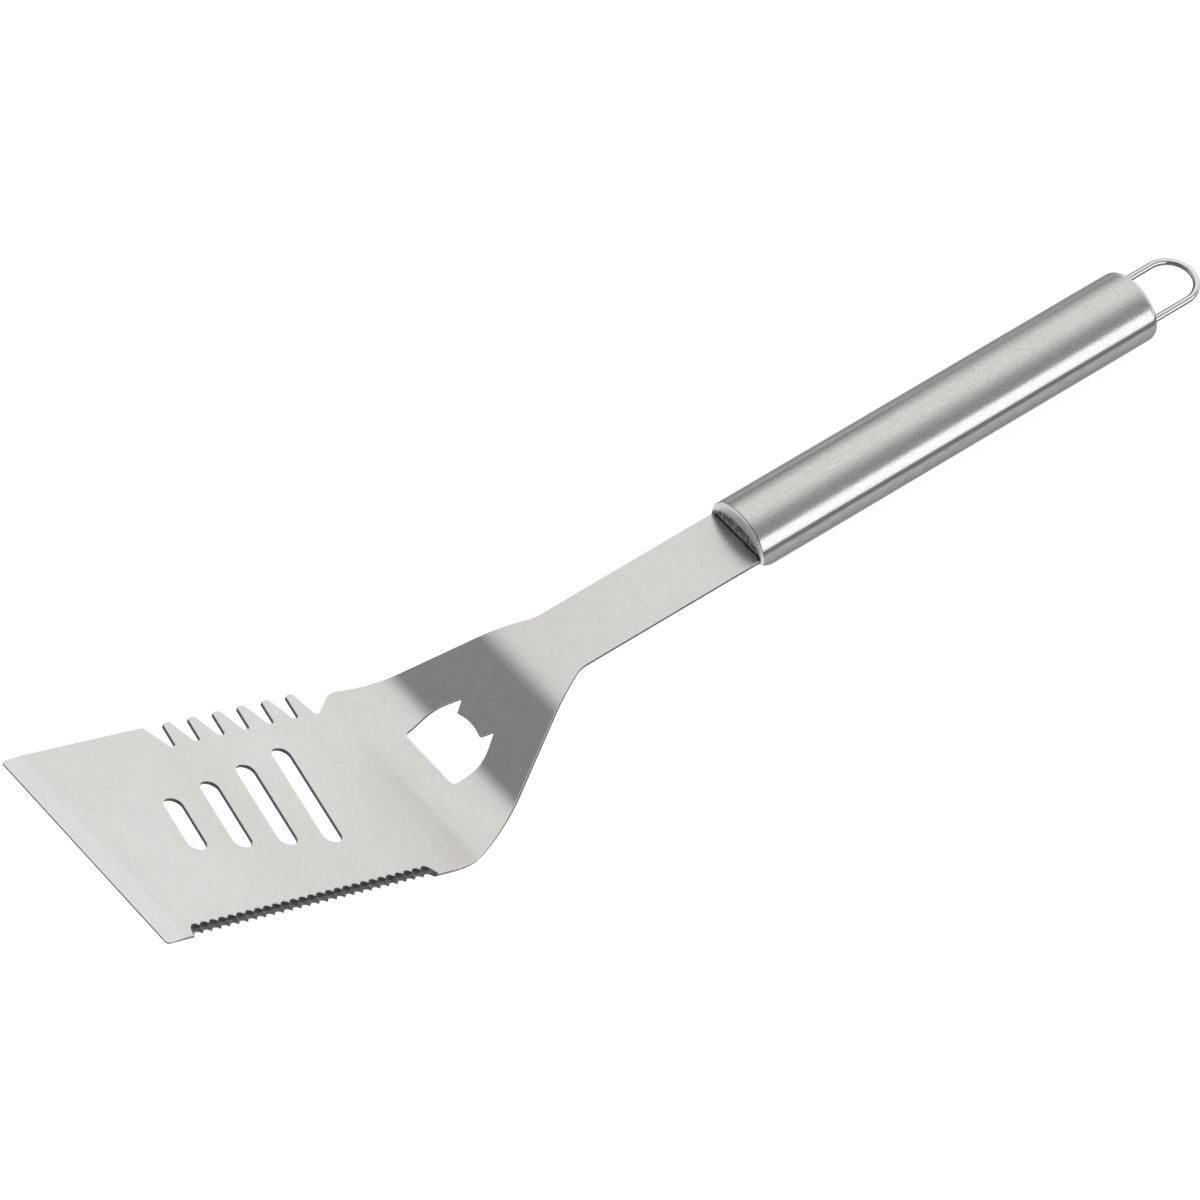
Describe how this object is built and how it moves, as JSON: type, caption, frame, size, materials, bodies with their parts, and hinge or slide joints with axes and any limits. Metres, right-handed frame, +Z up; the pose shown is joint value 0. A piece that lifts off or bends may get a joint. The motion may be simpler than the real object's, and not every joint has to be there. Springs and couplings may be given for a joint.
{
  "type": "grill spatula",
  "caption": "Long stainless steel grill spatula with a slotted blade, toothed and serrated edges, a bottle opener, a hollow oval handle and a wire hanging loop.",
  "frame": {"origin": "on the table that the spatula lies on, below the middle of its bounding box", "axes": "+X from the front edge of the blade to the hanging loop, +Y towards the toothed edge, +Z up"},
  "size_m": [0.4756, 0.09, 0.0689],
  "materials": {
    "blade_steel": "satin stainless sheet, finely brushed",
    "handle_steel": "satin stainless tube, brushed along its length",
    "cap_steel": "dull stainless plate",
    "loop_wire": "polished stainless wire",
    "weld_steel": "raw weld metal"
  },
  "bodies": {
    "root": {"blade_sheet": "blade_steel", "handle_tube": "handle_steel", "front_cap": "cap_steel", "rear_cap": "handle_steel", "hanging_loop": "loop_wire", "tang_weld_upper": "weld_steel", "tang_weld_lower": "weld_steel", "loop_weld_left": "weld_steel", "loop_weld_right": "weld_steel"}
  },
  "joints": []
}
